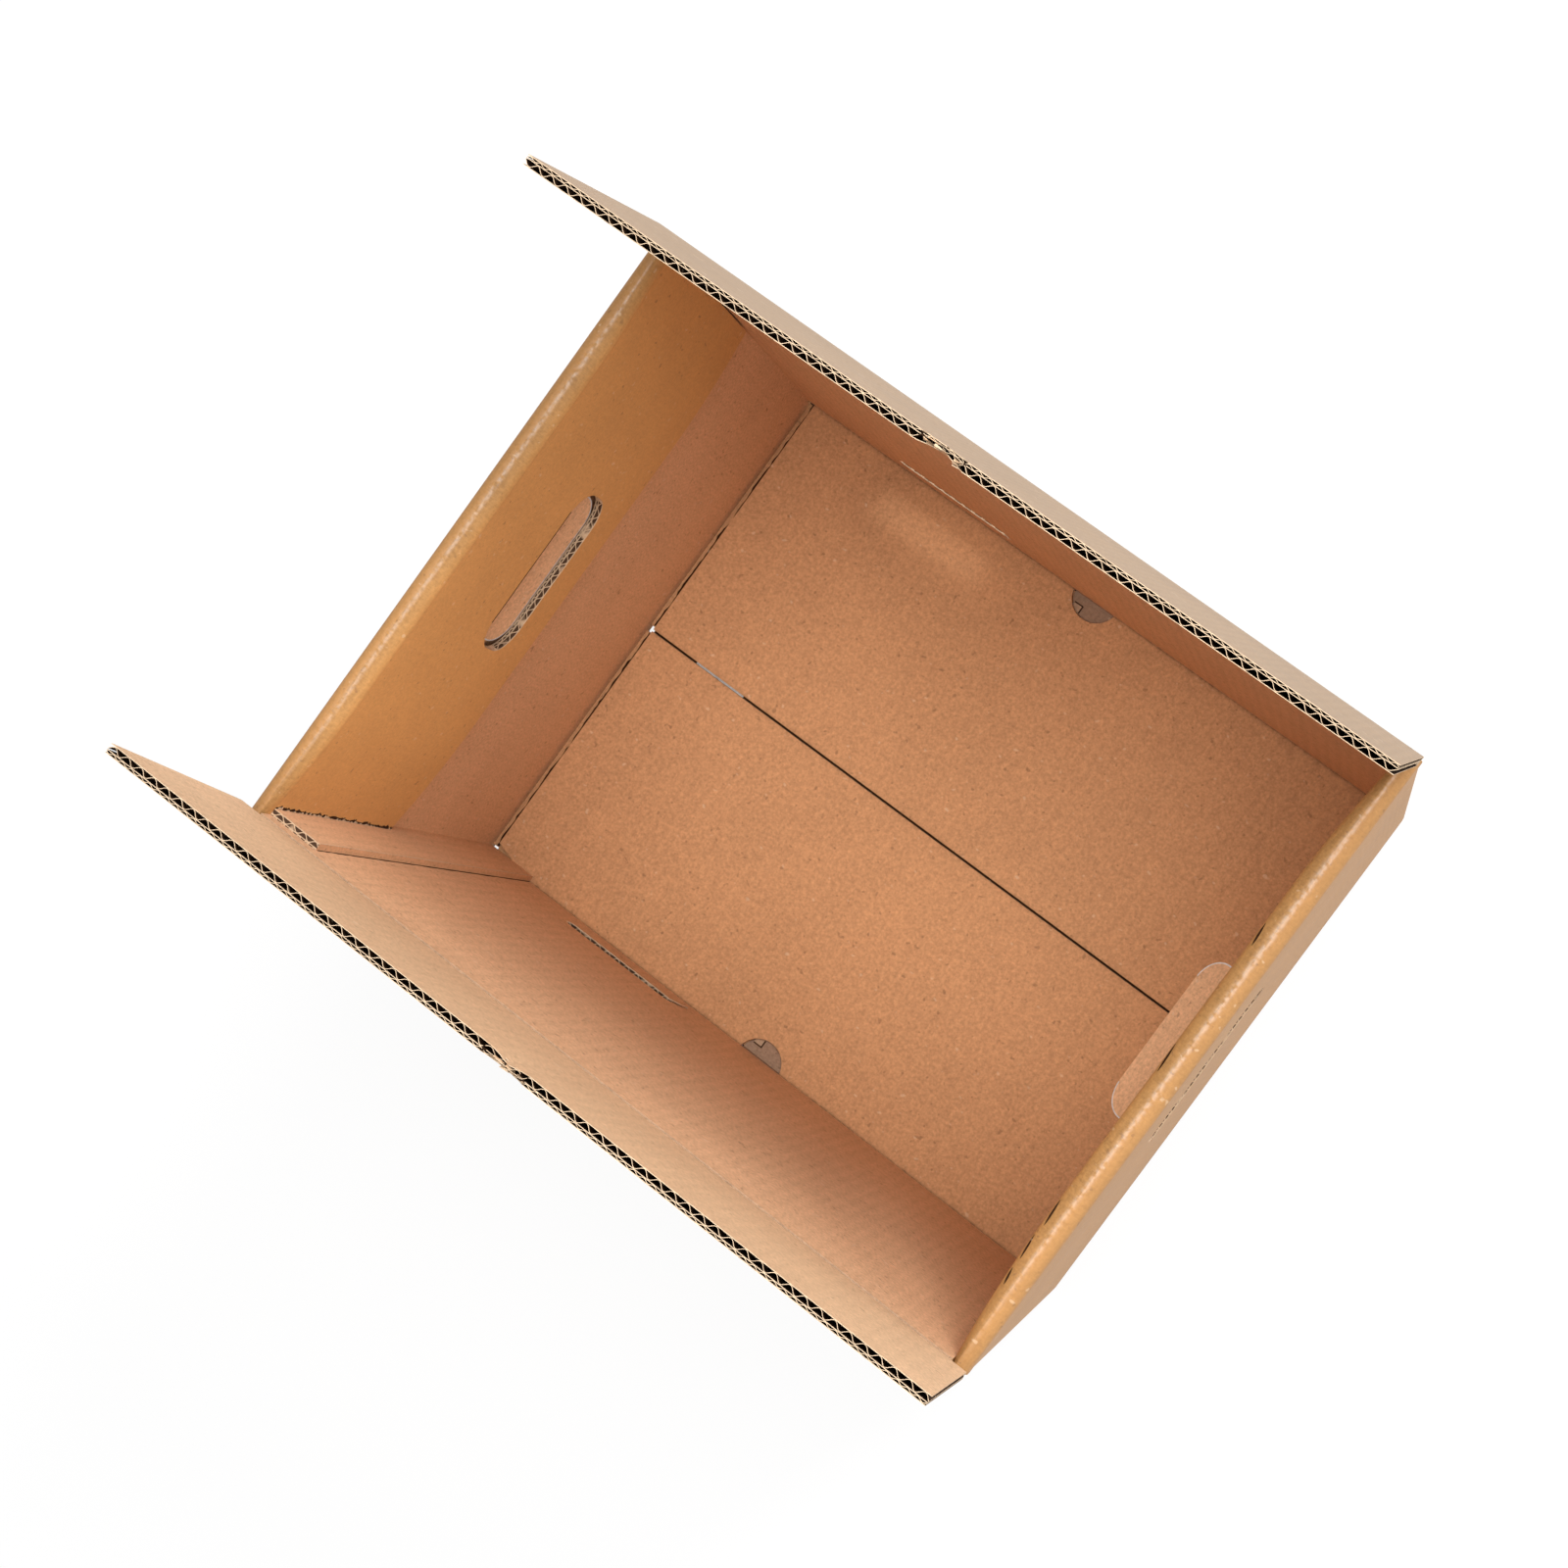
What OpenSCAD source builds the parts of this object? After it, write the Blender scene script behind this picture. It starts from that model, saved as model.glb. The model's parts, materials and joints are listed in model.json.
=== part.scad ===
// Open book-size moving box of double-wall corrugated board.
// One cut and folded sheet: two long walls with top flaps, two end walls whose tops are
// rolled over to the inside, push-in hand flaps, grip slots and a closed two-layer bottom.
// Millimetres, +Z up, origin at the middle of the underside, X along the length.

/* [Box] */
// Outer length, along X
box_l = 412; // [300:1:600]
// Outer width, along Y
box_w = 326; // [240:1:420]
// Height of the top flap creases above the base
crease_h = 350; // [300:1:480]
// Thickness of the double-wall board
board = 4.5; // [4:0.1:7]

/* [Rolled end walls] */
// Space left between an end wall and the panel rolled over it
roll_gap = 4; // [1:0.5:8]
// How far the rolled-over panel reaches down from the rim
panel_drop = 159; // [140:1:200]
// Clearance of the rolled-over panel to the long walls
panel_clear = 1; // [0.5:0.1:3]
// Clearance of the rims under the closed flaps
rim_clear = 0.5; // [0.3:0.1:2]

/* [Hand holes] */
// Length of the cut-out for a hand in a rolled-over panel
hand_l = 92; // [70:1:120]
// Height of that cut-out
hand_h = 41; // [30:1:46]
// Radius of its corners
hand_r = 16; // [8:0.5:17]
// Height of its top edge above the base
hand_top = 256; // [235:1:270]
// How far the crease of a hand flap lies below the top of the cut-out
crease_drop = 6; // [5.5:0.5:9]
// How much smaller the hole in the end wall is at its ends and foot
hand_margin = 1.5; // [1:0.1:3]
// Width of the cut round a hand flap
hand_kerf = 0.8; // [0.5:0.1:1.5]
// Push-in angle of the left hand flap at rest
left_push = 8; // [0:1:80]
// Push-in angle of the right hand flap at rest
right_push = 46; // [0:1:80]

/* [Grip slots] */
// Length of a grip slot in the foot of a long wall
slot_l = 76; // [50:1:110]
// Height of a grip slot
slot_h = 12; // [8:0.5:20]
// Middle of the grip slots along X
slot_x = -92; // [-120:1:-70]
// Height of the grip slots' middle above the base
slot_z = 40; // [28:1:60]

/* [Bottom] */
// Gap between the two inner bottom flaps
seam_gap = 1.4; // [0.8:0.1:4]
// Gap between the two outer bottom flaps
outer_gap = 0.8; // [0.5:0.1:6]
// Middle of the gap between the outer bottom flaps, along X
outer_seam_x = -10; // [-40:1:-5]
// Gap from the inner bottom flaps to the end walls
floor_gap = 4; // [1:0.5:8]
// Clearance of the outer bottom flaps to the long walls
outer_clear = 0.6; // [0.4:0.1:4]
// Radius of the finger notches at the feet of the long walls
notch_r = 14; // [8:0.5:20]
// How far a finger notch reaches into the floor from the wall
notch_reach = 11.5; // [6:0.5:18]
// Corner cut of the front inner flap, along X
corner_cut_x = 25; // [10:1:50]
// Corner cut of the front inner flap, along Y
corner_cut_y = 7; // [3:0.5:14]
// Size of the openings left in the outer bottom flaps' creases
crease_hole = 4; // [2:0.5:8]

/* [Glue tab] */
// Width of the glued corner tab
tab_w = 32; // [20:1:60]
// Thickness of the pressed corner tab
tab_t = 3.5; // [2:0.1:4.5]

/* [Top flaps] */
// Gap between the two flaps when both are closed
flap_gap = 4; // [2:0.5:12]
// Board left in the pressed crease of a flap
crease_web = 0.8; // [0.6:0.1:1.2]
// How far the pressed crease reaches below the hinge line
crease_foot = 0.7; // [0.3:0.1:0.8]
// Clearance round a flap's crease
crease_clear = 0.3; // [0.2:0.05:0.6]
// Inward lean of the front flap
front_lean = 5.5; // [0:0.5:60]
// Inward lean of the back flap
back_lean = 7.5; // [0:0.5:60]
// How much further out the right half of each free edge stands
edge_step = 3; // [0:0.5:8]
// Middle of the crushed notch in each free edge, along X
crush_x = -7; // [-30:1:30]
// Width of that crushed notch
crush_w = 18; // [8:1:30]
// Depth of the crushed notch
crush_d = 7; // [3:0.5:15]

/* [Flutes] */
// Pitch of the large flute, next to the inner paper
big_pitch = 7; // [6:0.1:9]
// Pitch of the small flute, next to the outer paper
small_pitch = 4.8; // [4:0.1:6.5]
// Clear height of the large flute
big_flute_h = 2.3; // [2:0.1:2.5]
// Thickness of each paper
paper = 0.35; // [0.2:0.05:0.4]

/* [Hidden] */
$fn = 48;

eps = 0.01;
half_l = box_l / 2;
half_w = box_w / 2;
in_l = half_l - board;
in_w = half_w - board;
floor_z = 2 * board;
roll_r = board + roll_gap / 2;
rim_h = crease_h - board - rim_clear;
panel_low = rim_h - panel_drop;
panel_x = half_l - 2 * roll_r;
hand_crease = hand_top - crease_drop;
flap_hole_l = hand_l - 2 * hand_margin;
flap_hole_h = hand_h - crease_drop - hand_margin;
flap_hole_r = hand_r - hand_margin;
hinge_off = crease_clear / 2;
wall_top = crease_h - norm([crease_foot, crease_web + hinge_off]) - hinge_off;
shoulder_z = rim_h - 2 * roll_r;
flap_d = half_w - flap_gap / 2;
flap_root = board + crease_clear;
flap_half_l = half_l - crease_clear;
flute_start = flap_root + crease_web;
small_flute_h = board - 3 * paper - big_flute_h;
flute_open = 0.43;
notch_floor = crush_w / 6;
notch_lip = crush_w / 3;
lip_d = crush_d / 2;

liner_inner = "#cfa678";
liner_outer = "#c58a4e";
board_edge = "#e3c79f";

// Rounded rectangle about the origin, from straight runs and true arcs
module rounded_rect(l, h, r) {
    square([l, h - 2 * r], center = true);
    square([l - 2 * r, h], center = true);
    for (sx = [-1, 1], sy = [-1, 1])
        translate([sx * (l / 2 - r), sy * (h / 2 - r)]) circle(r);
}

// A quarter of a disc in the first quadrant: one fold of the board
module quarter(r) {
    intersection() {
        circle(r);
        square(r + eps);
    }
}

// Puts a profile drawn in X and Z across the box, from y0 to y1
module across(y0, y1) {
    translate([0, y1, 0]) rotate([90, 0, 0]) linear_extrude(y1 - y0) children();
}

// Puts a profile drawn in Y and Z along the box, from x0 to x1
module along(x0, x1) {
    translate([x0, 0, 0]) rotate([90, 0, 90]) linear_extrude(x1 - x0) children();
}

// The four upright walls up to the shoulders of the rims
module wall_ring() {
    translate([0, 0, floor_z]) linear_extrude(shoulder_z - floor_z) difference() {
        rounded_rect(box_l, box_w, board);
        square([2 * in_l, 2 * in_w], center = true);
    }
}

// Upper part of a long wall, between the rolled rims and up to the crease
module long_wall_top() {
    translate([-panel_x, in_w, shoulder_z - eps]) cube([2 * panel_x, board, wall_top - shoulder_z + eps]);
}

// Foot of an end wall in section, between its bottom fold and the floor
module foot_section() {
    translate([in_l, board]) square([board, floor_z - board + eps]);
}

// Rolled top of an end wall in section: wall and round rim
module rim_section() {
    translate([in_l, shoulder_z - eps]) square([board, rim_h - roll_r - shoulder_z + eps]);
    translate([half_l - roll_r, rim_h - roll_r]) intersection() {
        difference() {
            circle(roll_r);
            circle(roll_gap / 2);
        }
        translate([-roll_r, 0]) square([2 * roll_r, roll_r]);
    }
}

// Panel rolled over to the inside, in section
module panel_section() {
    translate([panel_x, panel_low]) square([board, rim_h - roll_r - panel_low]);
}

// A rounded hole of l by h through an end of the box, its top edge at z_top
module through_end(x, thick, z_top, l, h, r) {
    translate([x, 0, z_top - h / 2])
        rotate([90, 0, 90]) linear_extrude(thick) rounded_rect(l, h, r);
}

// One end of the box, on the +X side
module end_wall() {
    across(-in_w, in_w) foot_section();
    across(-half_w + panel_clear, half_w - panel_clear) rim_section();
    difference() {
        across(-in_w + panel_clear, in_w - panel_clear) panel_section();
        through_end(panel_x - eps, board + 2 * eps, hand_top, hand_l, hand_h, hand_r);
    }
}

// The same end with its panel cut back beside the glue tab
module glued_end_wall() {
    difference() {
        end_wall();
        translate([panel_x - eps, in_w - tab_t - panel_clear, panel_low - eps])
            cube([board + 2 * eps, tab_t + panel_clear, rim_h - roll_r - panel_low]);
    }
}

// Outer bottom flap that hangs on the +X end wall and ends at x_end
module outer_bottom(x_end) {
    across(-in_w + outer_clear, in_w - outer_clear) {
        translate([in_l, board]) mirror([0, 1]) quarter(board);
        translate([x_end, 0]) square([in_l - x_end + eps, board]);
    }
}

// Inner bottom flap that hangs on the +Y long wall
module inner_bottom(cut_corner) {
    difference() {
        along(-in_l + floor_gap, in_l - floor_gap) {
            translate([in_w, floor_z]) mirror([0, 1]) quarter(board);
            translate([seam_gap / 2, board]) square([in_w - seam_gap / 2 + eps, board]);
        }
        translate([0, in_w - notch_reach + notch_r, board - eps])
            cylinder(h = board + 2 * eps, r = notch_r);
        if (cut_corner)
            translate([-in_l, in_w, board - eps]) linear_extrude(board + 2 * eps)
                polygon([[0, eps], [0, -corner_cut_y], [floor_gap, -corner_cut_y],
                         [floor_gap + corner_cut_x, 0], [floor_gap + corner_cut_x, eps]]);
    }
}

// Small opening beside the crease of the -X outer bottom flap
module crease_opening(y) {
    translate([-in_l, y - crease_hole / 2, -eps]) cube([crease_hole, crease_hole, board + 2 * eps]);
}

module grip_slot() {
    translate([slot_x, half_w + eps, slot_z]) rotate([90, 0, 0])
        linear_extrude(board + 2 * eps) rounded_rect(slot_l, slot_h, slot_h / 2 - eps);
}

module glue_tab() {
    translate([-in_l - eps, -in_w - eps, floor_z])
        cube([tab_w + eps, tab_t + eps, rim_h - roll_r - floor_z]);
}

module carton_body() color(liner_inner) {
    difference() {
        union() {
            wall_ring();
            long_wall_top();
            mirror([0, 1, 0]) long_wall_top();
        }
        grip_slot();
        mirror([0, 1, 0]) grip_slot();
        through_end(-half_l - eps, box_l + 2 * eps, hand_crease, flap_hole_l, flap_hole_h, flap_hole_r);
    }
    end_wall();
    mirror([1, 0, 0]) mirror([0, 1, 0]) glued_end_wall();
    outer_bottom(outer_seam_x + outer_gap / 2);
    difference() {
        mirror([1, 0, 0]) outer_bottom(outer_gap / 2 - outer_seam_x);
        crease_opening(0);
        crease_opening(-in_w + crease_hole / 2);
    }
    inner_bottom(false);
    mirror([0, 1, 0]) inner_bottom(true);
    glue_tab();
}

// Corner points of the open spaces of one flute layer between y0 and y0 + h.
// The wavy paper leaves one space under and one space over it in each pitch.
function flute_spaces(pitch, y0, h) =
    let (count = floor((2 * flap_half_l - pitch) / pitch),
         wide = flute_open * pitch,
         start = -count * pitch / 2)
    [for (i = [0:2 * count - 1])
        let (x = start + (i + 0.5) * pitch / 2,
             up = i % 2,
             base = up ? y0 + h : y0,
             tip = up ? y0 + paper : y0 + h - paper)
        [[x - wide, base], [x + wide, base], [x, tip]]];

// Double-wall board in section: outer face on the X axis, inner face at y = board
module fluted_section() {
    spaces = concat(flute_spaces(small_pitch, paper, small_flute_h),
                    flute_spaces(big_pitch, 2 * paper + small_flute_h, big_flute_h));
    outline = [[-flap_half_l, 0], [flap_half_l, 0], [flap_half_l, board], [-flap_half_l, board]];
    points = concat(outline, [for (s = spaces) each s]);
    corners = len(outline);
    sides = len(spaces[0]);
    paths = concat([[for (j = [0:corners - 1]) j]],
                   [for (k = [0:len(spaces) - 1]) [for (j = [0:sides - 1]) corners + sides * k + j]]);
    polygon(points, paths);
}

// Plan of a top flap: free edge with its stepped right half and crushed notch
module flap_plan() {
    low = flap_d - edge_step;
    polygon([[-flap_half_l - eps, flute_start], [flap_half_l + eps, flute_start],
             [flap_half_l + eps, flap_d], [crush_x + crush_w / 2, flap_d],
             [crush_x + notch_floor, flap_d - crush_d], [crush_x - notch_lip, low - lip_d],
             [crush_x - crush_w / 2, low], [-flap_half_l - eps, low]]);
}

// A top flap standing upright on the crease of the back wall, its outer face at +Y
module top_flap() {
    color(board_edge) intersection() {
        rotate([0, 0, 180]) translate([0, 0, flute_start]) linear_extrude(flap_d) fluted_section();
        translate([0, eps, 0]) rotate([90, 0, 0]) linear_extrude(board + 2 * eps) flap_plan();
    }
    color(liner_inner) translate([-flap_half_l, -board, flap_root])
        cube([2 * flap_half_l, board, crease_web + eps]);
    color(liner_outer) translate([-flap_half_l, -crease_web, -crease_foot])
        cube([2 * flap_half_l, crease_web, crease_foot + flap_root + eps]);
}

// Leans a flap inward about its crease on the back wall
module on_back_crease(lean) {
    translate([0, half_w + hinge_off, crease_h]) rotate([lean, 0, 0])
        translate([0, -hinge_off, 0]) children();
}

module back_flap() {
    on_back_crease(back_lean) top_flap();
}

module front_flap() {
    mirror([0, 1, 0]) on_back_crease(front_lean) top_flap();
}

// Hand flap hanging from its crease, its inner face at x = 0 and its outer face at +X
module hand_flap() color(liner_inner) {
    translate([0, 0, -flap_hole_h / 2]) rotate([90, 0, 90]) linear_extrude(board)
        rounded_rect(flap_hole_l - 2 * hand_kerf, flap_hole_h - 2 * hand_kerf, flap_hole_r - hand_kerf);
}

// Pushes a hand flap in about its crease in the right end wall
module on_hand_crease(push) {
    translate([in_l, 0, hand_crease]) rotate([0, push, 0]) children();
}

module left_hand_flap() {
    mirror([1, 0, 0]) on_hand_crease(left_push) hand_flap();
}

module right_hand_flap() {
    on_hand_crease(right_push) hand_flap();
}

carton_body();
back_flap();
front_flap();
left_hand_flap();
right_hand_flap();
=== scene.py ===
# %% [markdown]
# An open moving box of double-wall corrugated board, seen from above.
# The real one is a single sheet: cut, creased, folded and glued at one corner.
# The frame already has the walls, the rolled rims and the hinges at their real size, in metres,
# so this lesson only dresses them: kraft papers, cut edges, true wavy flutes in the top flaps, and wear.

# %% Load the frame and keep its box
import json
import math

import bmesh
import bpy
import numpy as np
from mathutils import Matrix, Vector

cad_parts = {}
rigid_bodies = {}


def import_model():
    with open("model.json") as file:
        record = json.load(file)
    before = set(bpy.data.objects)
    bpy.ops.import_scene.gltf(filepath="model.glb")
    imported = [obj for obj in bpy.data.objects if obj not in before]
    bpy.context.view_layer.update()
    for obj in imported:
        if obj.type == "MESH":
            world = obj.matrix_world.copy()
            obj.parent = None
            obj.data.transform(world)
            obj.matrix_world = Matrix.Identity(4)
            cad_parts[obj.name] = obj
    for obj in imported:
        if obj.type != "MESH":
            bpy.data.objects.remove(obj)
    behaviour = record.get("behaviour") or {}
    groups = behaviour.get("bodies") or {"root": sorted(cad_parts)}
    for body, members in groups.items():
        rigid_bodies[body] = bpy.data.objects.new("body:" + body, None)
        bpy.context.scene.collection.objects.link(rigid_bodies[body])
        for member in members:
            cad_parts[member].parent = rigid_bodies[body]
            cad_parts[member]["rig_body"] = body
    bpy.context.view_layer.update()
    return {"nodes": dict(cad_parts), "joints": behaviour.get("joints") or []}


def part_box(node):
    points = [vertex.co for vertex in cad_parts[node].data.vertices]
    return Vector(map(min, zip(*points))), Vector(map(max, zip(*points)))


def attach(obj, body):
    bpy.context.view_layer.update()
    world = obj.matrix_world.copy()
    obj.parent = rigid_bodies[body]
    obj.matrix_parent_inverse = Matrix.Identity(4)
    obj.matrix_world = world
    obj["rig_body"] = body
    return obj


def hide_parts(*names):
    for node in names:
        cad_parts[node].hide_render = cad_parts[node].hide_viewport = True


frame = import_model()
MM = 0.001

# %% [markdown]
# The walls' places come from the frame, so the dressing can't drift away from the model that carries it.
# The board's own build-up isn't in the frame and is repeated here:
# three flat papers, with a small flute outside and a large one inside.

# %% Sizes of the box and its board
_, body_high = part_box("carton_body")
HALF_L = body_high.x
HALF_W = body_high.y
BOARD = 4.5 * MM
PAPER = 0.35 * MM
BIG_PITCH = 7.0 * MM
SMALL_PITCH = 4.8 * MM
BIG_FLUTE = 2.3 * MM
ROLL_WIDTH = 13.0 * MM
print("outer size", round(2 * HALF_L, 4), round(2 * HALF_W, 4), "board", round(BOARD, 4))

# %% [markdown]
# The photograph was taken from high above the right end of the box, nearly straight down.
# A camera placed by eye would give every piece a slightly wrong outline to be judged by,
# so its place and its long lens were worked out from the box's straight edges.
# It aims near the middle of the rims and is turned so that the length runs down to the right.

# %% Camera at the photograph's viewing angle
IMAGE_SIZE = 1600
SENSOR = 36.0
FOCAL_PIXELS = 2757.5
CAMERA_AT = Vector((0.2411, 0.0629, 1.5010))
CAMERA_AIM = Vector((-0.0092, -0.0058, 0.3450))
UP_TURN = math.radians(126.81)


def make_camera():
    data = bpy.data.cameras.new("photo_camera")
    data.sensor_width = SENSOR
    data.lens = FOCAL_PIXELS * SENSOR / IMAGE_SIZE
    camera = bpy.data.objects.new("photo_camera", data)
    bpy.context.scene.collection.objects.link(camera)
    back = (CAMERA_AT - CAMERA_AIM).normalized()
    right = Vector((math.cos(UP_TURN), math.sin(UP_TURN), 0)).cross(back).normalized()
    up = back.cross(right)
    turn = Matrix((right, up, back)).transposed().to_4x4()
    camera.matrix_world = Matrix.Translation(CAMERA_AT) @ turn
    bpy.context.scene.camera = camera
    return camera


camera = make_camera()
print("lens", round(camera.data.lens, 2), "mm")

# %% [markdown]
# Shader and geometry maths reads best as plain arithmetic, not as a long list of nodes and links.
# One small class wraps a socket: adding, multiplying or comparing two of them
# adds the Math node that does it.
# A second class wraps a node tree and makes any other node from its type, its settings and its sockets.

# %% Arithmetic on sockets
class Val:
    """A socket in a node tree that takes part in Python arithmetic."""

    def __init__(self, tree, socket):
        self.tree = tree
        self.socket = socket

    def math(self, operation, *others):
        values = (self, *others)
        return self.tree.add("ShaderNodeMath", {"operation": operation}, dict(enumerate(values)))

    def swapped(self, operation, other):
        return self.tree.add("ShaderNodeMath", {"operation": operation}, {0: other, 1: self})

    def __add__(self, other):
        return self.math("ADD", other)

    def __sub__(self, other):
        return self.math("SUBTRACT", other)

    def __rsub__(self, other):
        return self.swapped("SUBTRACT", other)

    def __mul__(self, other):
        return self.math("MULTIPLY", other)

    def __truediv__(self, other):
        return self.math("DIVIDE", other)

    def __rtruediv__(self, other):
        return self.swapped("DIVIDE", other)

    def __pow__(self, other):
        return self.math("POWER", other)

    def __rpow__(self, other):
        return self.swapped("POWER", other)

    def __lt__(self, other):
        return self.math("LESS_THAN", other)

    def __gt__(self, other):
        return self.math("GREATER_THAN", other)

    def abs(self):
        return self.math("ABSOLUTE")

    def cos(self):
        return self.math("COSINE")

    def exp(self):
        return self.math("EXPONENT")

    def max(self, other):
        return self.math("MAXIMUM", other)

    def min(self, other):
        return self.math("MINIMUM", other)

    __radd__ = __add__
    __rmul__ = __mul__


print("operators", sorted(name for name in vars(Val) if name.startswith("__r")))


# %% Any other node
class Tree:
    """A node tree with one method that makes any node."""

    def __init__(self, node_tree):
        self.nodes = node_tree.nodes
        self.links = node_tree.links

    def plug(self, socket, value):
        if isinstance(value, Val):
            self.links.new(value.socket, socket)
        else:
            socket.default_value = value

    def add(self, kind, settings=None, sockets=None, out=0):
        node = self.nodes.new(kind)
        for name, value in (settings or {}).items():
            setattr(node, name, value)
        for name, value in (sockets or {}).items():
            self.plug(node.inputs[name], value)
        return Val(self, node.outputs[out]) if len(node.outputs) else None

    def split(self, vector):
        node = self.add("ShaderNodeSeparateXYZ", None, {0: vector}).socket.node
        return [Val(self, socket) for socket in node.outputs]

    def mix(self, factor, a, b):
        """Mixes two colours; the Mix node keeps its colour sockets at places 6, 7 and 2."""
        return self.add("ShaderNodeMix", {"data_type": "RGBA"}, {0: factor, 6: a, 7: b}, 2)

    def ramp(self, value, low, high):
        """0 below low, 1 above high, straight between."""
        return self.add("ShaderNodeMapRange", {"clamp": True}, {0: value, 1: low, 2: high})

    def noise(self, vector, scale, detail=2.0, rough=0.5):
        sockets = {"Vector": vector, "Scale": scale, "Detail": detail, "Roughness": rough}
        return self.add("ShaderNodeTexNoise", None, sockets)

    def stretched(self, vector, scale):
        return self.add("ShaderNodeMapping", {"vector_type": "POINT"}, {"Vector": vector, "Scale": scale})


print("helpers", [name for name in vars(Tree) if not name.startswith("_")])

# %% [markdown]
# Kraft paper is a felt of short fibres. From a step away it shows a soft cloudiness, a grain of a
# millimetre or two, dark and pale flecks, and faint ridges where it is glued to a flute.
# A picture of paper would stretch and repeat. Noise in Object coordinates does neither, so one function
# makes every paper of the box, and only the tone, the gloss and the direction of the ridges change.

# %% Tones of the papers
FLOOR_TONE = (0.55, 0.29, 0.14, 1)
END_TONE = (0.68, 0.405, 0.23, 1)
LONG_TONE = (0.66, 0.40, 0.235, 1)
FLAP_INNER_TONE = (0.67, 0.44, 0.265, 1)
PANEL_TONE = (0.625, 0.33, 0.12, 1)
OUTER_TONE = (0.40, 0.205, 0.075, 1)
FLAP_OUTER_TONE = (0.335, 0.225, 0.138, 1)
# A darker inner paper, painted shade for the sheets down in the finger notches.
LOWER_SHADE_TONE = (0.34, 0.215, 0.14, 1)
# A darker inner paper, painted shade for the wall tops in the flap creases and the tabs in the notches.
TAB_SHADE_TONE = (0.46, 0.30, 0.19, 1)
# Pale paper: the knife's pale line round the hand flaps, and painted light for the streak through the bottom
# seam.
PALE_TONE = (0.62, 0.60, 0.58, 1)
# Near-black, painted shade: the flute voids, and the sheets that stand for shade in gaps, seams and wrinkles.
FLUTE_SHADE_TONE = (0.045, 0.022, 0.011, 1)
CUT_TONE = (0.62, 0.46, 0.31, 1)
FLECK_DARK = (0.16, 0.085, 0.045, 1)
FLECK_PALE = (0.78, 0.62, 0.44, 1)
print("floor tone", FLOOR_TONE[:3], "panel tone", PANEL_TONE[:3])

# %% One function for every paper
BUMP_DISTANCE = 0.4 * MM
COAT_ROUGHNESS = 0.30
PAPER_BUMP = 0.35
CLOUD_SCALE = 9.0
PATCH_SCALE = 55.0
GRAIN_SCALE = 620.0
FIBRE_LONG_SCALE = 260.0
FIBRE_THIN_SCALE = 1500.0
DARK_SCALE = 300.0
PALE_SCALE = (190.0, 260.0, 230.0)
CLOUD_LIGHT = 0.22
PATCH_LIGHT = 0.16
FIBRE_LIGHT = 0.20
PATCH_ROUGH = 0.12
DARK_SHARE = 0.42
PALE_SHARE = 0.30


def new_material(name):
    material = bpy.data.materials.new(name)
    material.use_nodes = True
    material.node_tree.nodes.clear()
    return material, Tree(material.node_tree)


def close_material(tree, color, rough, height, bump, coat=0.0, specular=0.3):
    sockets = {"Strength": bump, "Distance": BUMP_DISTANCE, "Height": height}
    bumped = tree.add("ShaderNodeBump", None, sockets)
    shader = tree.add("ShaderNodeBsdfPrincipled", None, {
        "Base Color": color, "Roughness": rough, "Normal": bumped, "Coat Weight": coat,
        "Specular IOR Level": specular, "Coat Roughness": COAT_ROUGHNESS})
    tree.add("ShaderNodeOutputMaterial", None, {"Surface": shader})


def kraft(name, tone, ridge_axis, ridge_pitch, ridge=0.02, rough=0.8, coat=0.0, specular=0.15,
          painted_light=None, grit=0.8):
    material, tree = new_material(name)
    place = tree.add("ShaderNodeTexCoord", None, None, "Object")
    axis = "xyz".index(ridge_axis)
    along = tree.split(place)[axis]
    cloud = tree.noise(place, CLOUD_SCALE, 3.0)
    patch = tree.noise(place, PATCH_SCALE, 3.0)
    grain = tree.noise(place, GRAIN_SCALE, 2.0, 0.6)
    fibre_scale = [FIBRE_LONG_SCALE] * 3
    fibre_scale[axis] = FIBRE_THIN_SCALE
    fibre = tree.noise(tree.stretched(place, fibre_scale), 1.0, 2.0, 0.6)
    dark = tree.ramp(tree.noise(place, DARK_SCALE, 1.0), 0.70, 0.76)
    pale = tree.ramp(tree.noise(tree.stretched(place, PALE_SCALE), 1.0, 1.0), 0.715, 0.77)
    wave = (along * (2 * math.pi / ridge_pitch)).cos()
    light = 1.0 + (cloud - 0.5) * CLOUD_LIGHT + (patch - 0.5) * PATCH_LIGHT + (grain - 0.5) * grit
    # The ridge term is painted light and shade of the faint glue ridges; their shape is in the bump below.
    light = light + (fibre - 0.5) * FIBRE_LIGHT + wave * ridge
    if painted_light:
        # Painted light and shade that belong to a place on the box, added to the lightness.
        light = light + painted_light(tree, place)
    if callable(coat):
        coat = coat(tree, place)
    shaded = tree.add("ShaderNodeVectorMath", {"operation": "SCALE"}, {0: tone[:3], "Scale": light})
    color = tree.mix(dark * DARK_SHARE, shaded, FLECK_DARK)
    color = tree.mix(pale * PALE_SHARE, color, FLECK_PALE)
    height = grain * 0.5 + fibre * 0.35 + wave * (ridge * 9.0) + cloud * 0.8
    close_material(tree, color, rough + (patch - 0.5) * PATCH_ROUGH, height, PAPER_BUMP, coat, specular)
    return material


print("grain size", round(1000 / GRAIN_SCALE, 2), "mm")

# %% [markdown]
# Handling leaves marks that belong to a place on the box: a soft dent in the floor, faint scores and folds,
# and rims rubbed shinier than the panel below them. Their light and shade are painted into the paper:
# a painted highlight and shade on the dent, painted shade in the scores, folds and middle seam,
# and painted shade over the top of the rims with painted light on the panel below. They could be painted by
# hand.
# Here each is a function of the place, added to the paper's lightness or gloss,
# so a number moves it.

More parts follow.
